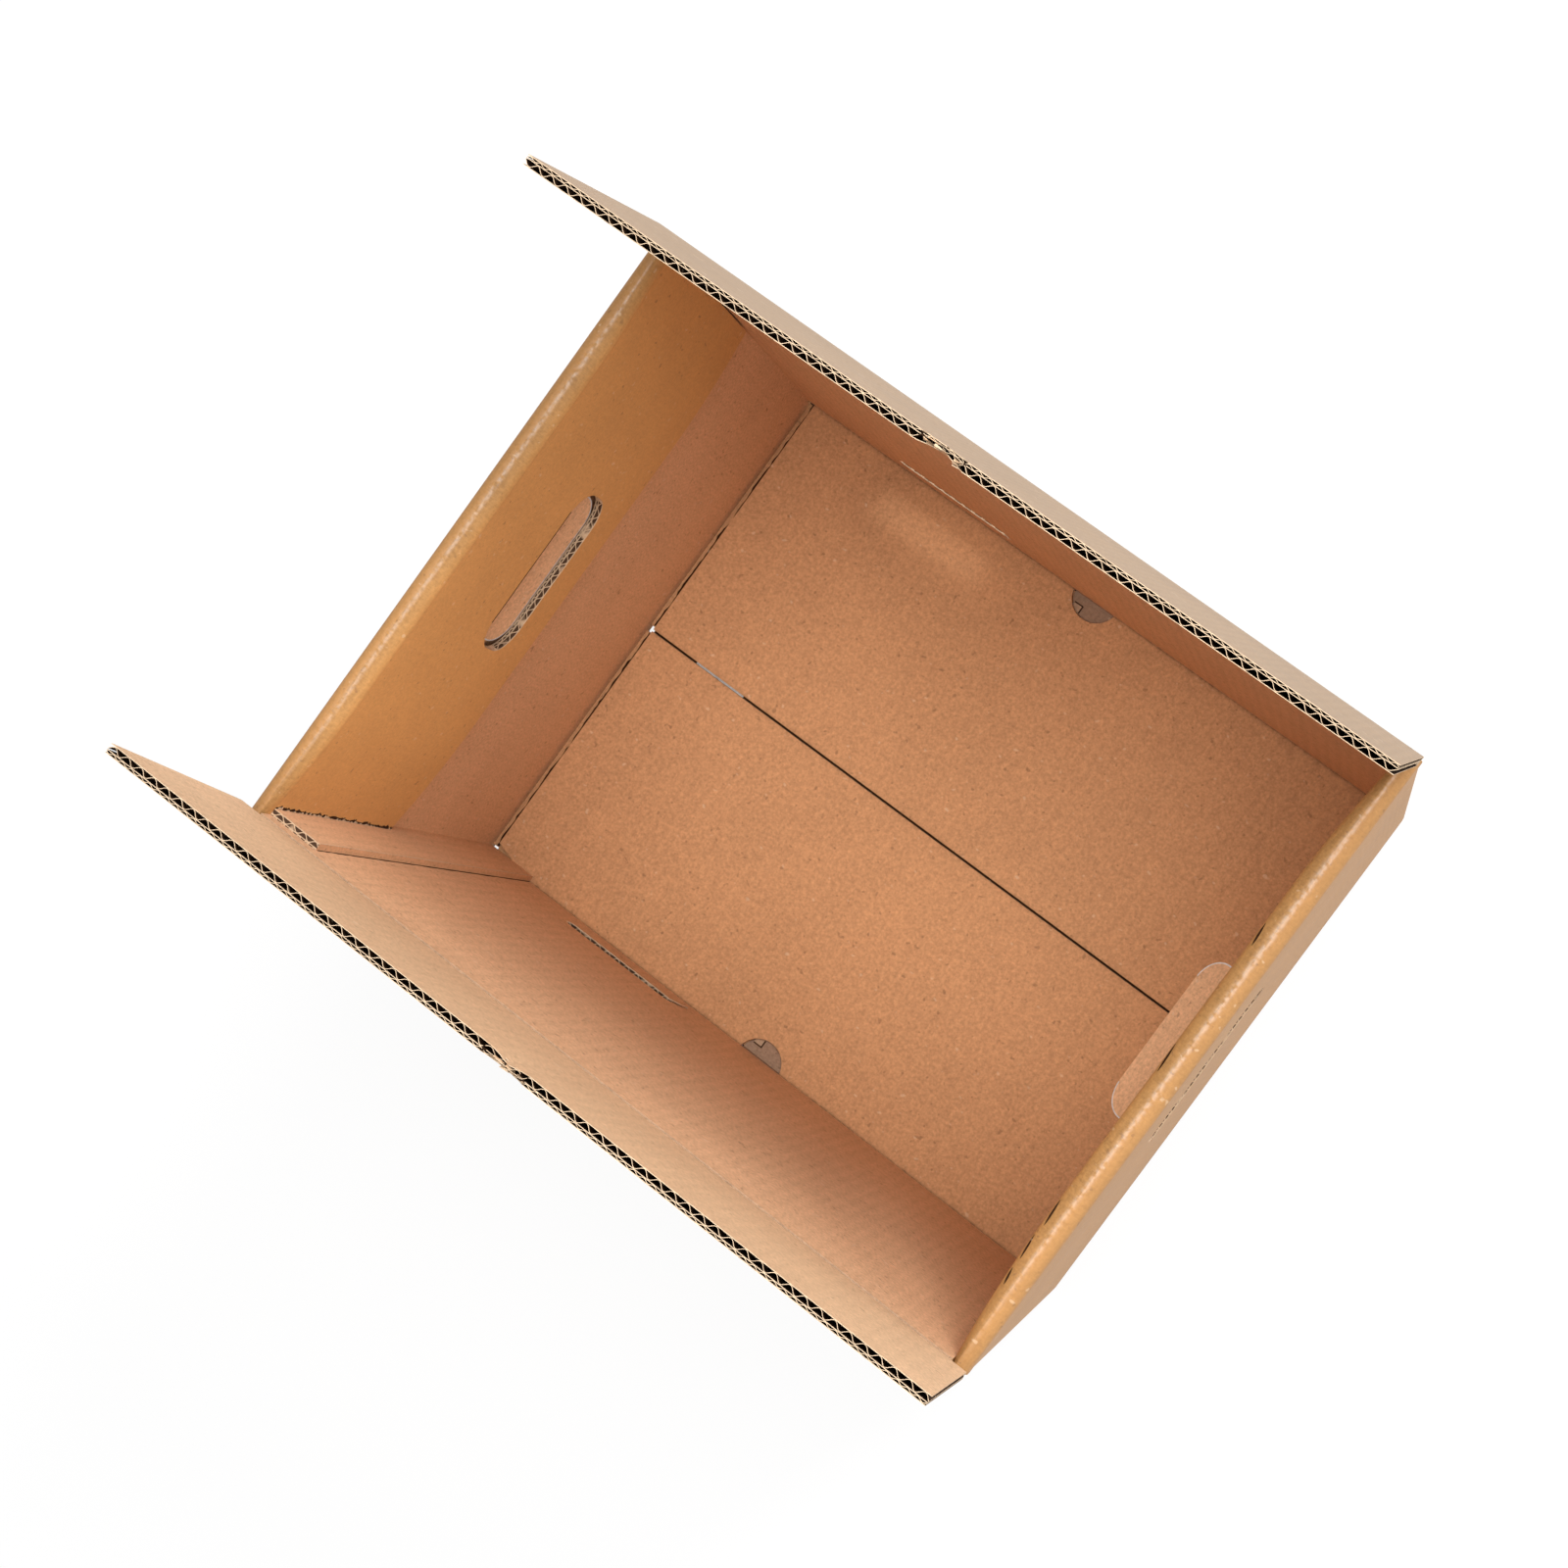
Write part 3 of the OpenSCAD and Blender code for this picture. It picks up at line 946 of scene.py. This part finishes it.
# %% [markdown]
# The front side of the left rolled panel was torn, so a ragged line of shadow and bits of pale pulp show
# there.
# A dense mesh could be displaced for it. Two ragged sheets just off the panel's face need far fewer faces:
# a wide near-black one, painted shadow in the gap, and a narrow pale one, with bare stretches, for the pulp.

# %% Torn side of the left panel
TORN_FROM = HALF_W - BOARD - TAB - 1.0 * MM
TORN_UNDER = TORN_FROM + 0.9 * MM
TORN_SIDE = TORN_FROM + 0.75 * MM
TORN_LEVELS = np.linspace(PANEL_LOW, 337 * MM, 130)
TORN_LIFT = spot(0.12, 0, 0)
BARE_SHARE = 0.55


def panel_face(y):
    """Distance of a rolled panel's face from the middle of the box, with its bent ends."""
    return HALF_L - ROLL_WIDTH + BOW_FRONT * bow_share(y)


def torn_rows(reach, stand):
    face = panel_face(TORN_FROM) - stand * MM
    bites = ragged(len(TORN_LEVELS), -0.7 * MM, reach * MM)
    return [[(-face, -TORN_UNDER, z), (-face, -(TORN_SIDE - max(bite, 0.0)), z)]
            for z, bite in zip(TORN_LEVELS, bites)]


slab("panel_torn_shadow", torn_rows(2.7, 0.12), TORN_LIFT, "flute")
pulp_rows = [[low, low if dice.rand() < BARE_SHARE else high] for low, high in torn_rows(1.7, 0.30)]
pulp_rows = [[(low[0], low[1] - 0.02 * MM, low[2]), high] for low, high in pulp_rows]
slab("panel_torn_pulp", pulp_rows, TORN_LIFT, "cut")
print("torn levels", len(TORN_LEVELS))

# %% [markdown]
# Where the board was rolled over the right rim, the paper buckled into short wrinkles, dark with shade in
# their folds.
# The buckles are not modelled. Drawn by a shader the dark marks would vanish from the outline, so each is a
# thin lens of near-black paper, painted shade, that follows the round of the rim and turns a little as it
# goes.

# %% Painted shade of the wrinkles on the right rim
WRINKLES = [(63, 54, 11), (-2, 58, 14), (-84, 55, 13), (-102, 57, 12), (-117, 50, 8)]
WRINKLE_HALF = 6.5
WRINKLE_END = 0.5
WRINKLE_TURN = 14
RIM_RADIUS = ROLL_WIDTH / 2


def on_rim(y, lean):
    """A point on the right rim, lean degrees down its inner side."""
    turn = math.radians(lean)
    radius = RIM_RADIUS + 0.06 * MM
    x = HALF_L - RIM_RADIUS - radius * math.sin(turn)
    share = max(0.0, HALF_L - x - BOW_ROOT) / (ROLL_WIDTH - BOW_ROOT)
    return (x + BOW_FRONT * bow_share(y) * share, y, RIM_MID + radius * math.cos(turn))


for number, (at, lean, length) in enumerate(WRINKLES):
    rows = []
    for t in np.linspace(-0.5, 0.5, 7):
        half = WRINKLE_HALF * (1 - (2 * t) ** 2) + WRINKLE_END
        bend = lean + WRINKLE_TURN * t
        y = (at + t * length) * MM
        rows.append([on_rim(y, bend - half), on_rim(y, bend + half)])
    slab("rim_wrinkle_shade_%d" % number, rows, spot(-0.05, 0, 0.03), "flute")
print("wrinkles", len(WRINKLES))

# %% [markdown]
# A round finger notch in each inner bottom flap shows the outer flap below it, and a small cut tab there.
# The body is open at these notches, so a few sheets close them: a near-black backing, painted shade,
# a strip of wall and the sheet that the notch uncovers, in a darker paper painted as the shade down there,
# and the tab, also in a darker paper, with a near-black outline that is its painted shadow.

# %% Finger notches
NOTCH_R = 13.6
NOTCH_MID = 161.0
NOTCH_FAR = 158.4
NOTCH_Z = 4.55
FOOT = (HALF_W - BOARD) / MM
TAB_X = (-9.6, -4.6)
TAB_Y = (148.6, 152.6)


def finger_notch(side, name):
    rows = [[spot(x, side * (FOOT + y), 2) for y in (-0.8, 0.1)] for x in (-18, 18)]
    slab("notch_backing_" + name, rows, spot(0, 0, 1.0), "flute")
    rows = [[spot(x, side * (FOOT - 0.1), z) for z in (0.3, 9.2)] for x in (-NOTCH_R, NOTCH_R)]
    slab("notch_wall_" + name, rows, spot(0, side * 0.7, 0), "lower")
    rows = []
    for x in np.linspace(-12.8, 12.8, 17):
        near_edge = NOTCH_MID - math.sqrt(NOTCH_R ** 2 - x ** 2)
        rows.append([spot(x, side * y, NOTCH_Z) for y in (near_edge, NOTCH_FAR)])
    slab("notch_sheet_" + name, rows, spot(0, 0, 0.25), "lower")
    # The near-black sheet under the tab is its painted shadow; the tab itself takes the darker painted-shade
    # paper.
    for grow, paper, z in ((0.8, "flute", 4.85), (0.0, "end_tab", 5.05)):
        across = (TAB_X[0], TAB_X[1] + grow)
        along = (TAB_Y[0], TAB_Y[1] + grow)
        rows = [[spot(x, side * y, z) for y in along] for x in across]
        slab("notch_tab_%s_%s" % (paper, name), rows, spot(0, 0, 0.15), paper)


for side, name in ((-1, "front"), (1, "back")):
    finger_notch(side, name)
print("finger notches at y", round(FOOT, 1), "mm")

# %% [markdown]
# The inner bottom flaps meet in a seam and leave a ragged gap at the left end. Nothing lies under these gaps,
# so narrow sheets fill them: near-black ones painted as the shade in the seam, the gap and the corner,
# a pale one painted as the light that comes through the seam, and floor paper at the bottom of the gap.
# A darker paint on the floor would stop at its edge and leave the gaps open.

# %% Seam and end gaps of the bottom
SEAM_Z = 4.6
SEAMS = [
    ("left", -197.0, -166.0, 0.7, "flute"),
    ("streak", -166.0, -132.0, 0.62, "pale"),
    ("right", -132.0, 197.0, 0.7, "flute"),
]
END_GAPS = [("front", -154.0, -2.6), ("back", 2.6, 158.0)]
GAP_WALL = -201.4
GAP_FLOOR = -197.6

for name, start, end, half, paper in SEAMS:
    rows = [[spot(x, y, SEAM_Z) for y in (-half, half)] for x in (start, end)]
    slab("seam_" + name, rows, spot(0, 0, 0.2), paper)
for name, start, end in END_GAPS:
    rows = [[spot(x, y, SEAM_Z) for x in (GAP_WALL, GAP_FLOOR)] for y in (start, end)]
    slab("end_gap_" + name, rows, spot(0, 0, 0.2), "floor")
    places = np.linspace(start, end, 60)
    widths = ragged(len(places), 0.9, 2.7)
    rows = [[spot(x, y, SEAM_Z + 0.3) for x in (GAP_FLOOR - wide, GAP_FLOOR)]
            for y, wide in zip(places, widths)]
    slab("end_shadow_" + name, rows, spot(0, 0, 0.1), "flute")
rows = [[spot(x, y, 2) for y in (153.0, 161.5)] for x in (-204.5, -195.5)]
slab("corner_shade_backing", rows, spot(0, 0, 1.0), "flute")
print("seams", len(SEAMS), "end gaps", len(END_GAPS))

# %% [markdown]
# A painted shadow line lies over the left hand hole's flap, and the glued corner tab ends in a torn edge
# with a painted shadow beside it.
# Both are too fine to be seen as gaps in the solid, so they lie on it as thin strips.

# %% Painted shadow and pulp lines at the left hole and the corner tab
HOLE_TOP = 256.0
HOLE_HALF = 33.0
HOLE_FACE = -(HALF_L - ROLL_WIDTH) / MM + 0.05
TAB_EDGE = -169.5 * MM
TAB_LEVELS = np.linspace(10 * MM, 337 * MM, 80)

rows = [[spot(HOLE_FACE, y, HOLE_TOP + z) for z in (-0.5, 0.2)] for y in (-HOLE_HALF, HOLE_HALF)]
slab("left_hole_shadow", rows, spot(0.08, 0, 0), "flute")
for name, paper, wall, reach in (("pulp", "cut", BOARD + TAB, -0.9), ("shadow", "flute", BOARD, 1.1)):
    face = -(HALF_W - wall - 0.08 * MM)
    widths = ragged(len(TAB_LEVELS), 0.3 * reach, reach)
    rows = [[(TAB_EDGE, face, z), (TAB_EDGE + wide * MM, face, z)] for z, wide in zip(TAB_LEVELS, widths)]
    slab("tab_edge_" + name, rows, spot(0, 0.06, 0), paper)
print("tab edge levels", len(TAB_LEVELS))

# %% [markdown]
# The grip slots were punched with a blunt knife: one end of the back slot is frayed,
# and a torn tongue of paper still hangs in the front one. Hair could fray an edge,
# but a few seeded slivers are enough at this size and export as plain meshes.

# %% Frayed grip slots
FRAYS = 9
FRAY_WIDE = Vector((0.1, 0.0, 0.5)) * MM
TONGUE = [(-56.0, 35.0, 44.0), (-53.0, 32.5, 40.0), (-50.0, 29.0, 35.0), (-47.0, 26.5, 28.5)]

for number in range(FRAYS):
    start = Vector((-55.5 + 2.5 * dice.rand(), 158.3 - 0.6 * dice.rand(), 43.0 + 6.0 * dice.rand())) * MM
    way = Vector((2.2 * dice.rand() - 0.4, -0.8 * dice.rand(), 1.2 - 2.4 * dice.rand())) * MM
    rows = [[start, start + FRAY_WIDE], [start + way, start + way + FRAY_WIDE * 0.6]]
    slab("slot_fray_%d" % number, rows, spot(0.05, -0.25, 0), "cut")
rows = [[spot(x, -158.2, low), spot(x, -157.6, high)] for x, low, high in TONGUE]
slab("slot_torn_tongue", rows, spot(0, 0.45, 0), "cut")
print("frays", FRAYS)

# %% [markdown]
# The free edge of each top flap is crushed at its middle, and flakes of all its papers stand up there.
# They are small four-cornered sheets, scattered over the crush in the flap's own flat frame
# and then stood on the crease with the flap, so they ride with it when it is shut.

# %% Flakes at the crushed edges
FLAKES = 10
FLAKE_PAPERS = ("flap_inner", "cut", "flap_outer")


def flake_corners(x, chance):
    """Four corners of a flake, in millimetres on the flat flap."""
    depth = 153.5 + 4.5 * chance.rand()
    height = 0.3 + 3.6 * chance.rand()
    long = 2.0 + 3.5 * chance.rand()
    tall = 1.2 + 2.2 * chance.rand()
    lean = 2.4 * (chance.rand() - 0.5)
    near_side = [(x, depth, height), (x + 0.4 * lean, depth + tall, height + lean)]
    far_low = (x + long, depth - 0.5, height + 0.5 * lean)
    far_high = (x + long * 0.8, depth + 0.7 * tall, height + 0.7 * lean)
    return [near_side, [far_low, far_high]]


def scatter_flakes(node, seed):
    place, _ = stand_on_crease(node)
    chance = np.random.RandomState(seed)
    lift = place.to_3x3() @ Vector((0, 0.05, 0.22)) * MM
    for number in range(FLAKES):
        x = CRUSH_AT[node] + 20 * (chance.rand() - 0.5)
        rows = [[place @ (Vector(point) * MM) for point in row] for row in flake_corners(x, chance)]
        paper = FLAKE_PAPERS[number % len(FLAKE_PAPERS)]
        slab("%s_flake_%d" % (node, number), rows, lift, paper, frame["nodes"][node]["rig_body"])


scatter_flakes("back_flap", 21)
scatter_flakes("front_flap", 22)
print("flakes", 2 * FLAKES)

# %% [markdown]
# The box stands on a plain white table under soft light from above and behind.
# More light would make the table white but bleach the card. So the table and the world glow white only for
# rays that look at them, and the table keeps enough of its matte paint for a faint shadow under the box.

# %% Table and world
TABLE_HALF = 30.0
TABLE_DROP = 0.2 * MM
TABLE_TONE = (0.82, 0.82, 0.82, 1)
TABLE_GLOW = 0.86
WHITE = (1, 1, 1, 1)
SKY = 0.28


def background_rays(tree):
    """1 for the rays that should meet plain white: seen directly, in gloss or through glass."""
    kinds = ("Camera", "Glossy", "Transmission")
    seen, gloss, glass = [tree.add("ShaderNodeLightPath", None, None, "Is %s Ray" % kind) for kind in kinds]
    return seen.max(gloss).max(glass)


def make_table():
    mesh = bpy.data.meshes.new("table")
    corners = [(-1, -1), (1, -1), (1, 1), (-1, 1)]
    mesh.from_pydata([(x * TABLE_HALF, y * TABLE_HALF, 0) for x, y in corners], [], [(0, 1, 2, 3)])
    material, tree = new_material("white_table")
    matte = tree.add("ShaderNodeBsdfDiffuse", None, {"Color": TABLE_TONE})
    glow = tree.add("ShaderNodeEmission", None, {"Color": WHITE, "Strength": 1.0})
    factor = background_rays(tree) * TABLE_GLOW
    mixed = tree.add("ShaderNodeMixShader", None, {0: factor, 1: matte, 2: glow})
    tree.add("ShaderNodeOutputMaterial", None, {"Surface": mixed})
    mesh.materials.append(material)
    table = bpy.data.objects.new("table", mesh)
    bpy.context.scene.collection.objects.link(table)
    table.location.z = -TABLE_DROP


def make_world():
    world = bpy.data.worlds.new("studio")
    world.use_nodes = True
    world.node_tree.nodes.clear()
    tree = Tree(world.node_tree)
    strength = background_rays(tree) * (1.0 - SKY) + SKY
    light = tree.add("ShaderNodeBackground", None, {"Color": WHITE, "Strength": strength})
    tree.add("ShaderNodeOutputWorld", None, {"Surface": light})
    bpy.context.scene.world = world


make_table()
make_world()
print("sky", SKY)

# %% Soft lamps
LAMPS = [
    ("key_softbox", (0.30, 1.70, 2.05), (0.0, -0.1, 0.4), 1.0, 48.0),
    ("top_softbox", (0.20, 0.25, 3.60), (0.0, 0.0, 0.0), 2.2, 120.0),
    ("side_softbox", (1.70, 0.10, 1.25), (-0.2, 0.0, 0.25), 0.9, 11.0),
]


def area_light(name, at, aim, size, power):
    data = bpy.data.lights.new(name, "AREA")
    data.size = size
    data.energy = power
    lamp = bpy.data.objects.new(name, data)
    bpy.context.scene.collection.objects.link(lamp)
    lamp.location = at
    lamp.rotation_euler = (Vector(aim) - Vector(at)).to_track_quat("-Z", "Y").to_euler()


for lamp in LAMPS:
    area_light(*lamp)
bpy.context.scene.view_settings.view_transform = "Standard"
print("lamps", [lamp[0] for lamp in LAMPS])

# %% [markdown]
# Dressing must not change the size of the box.
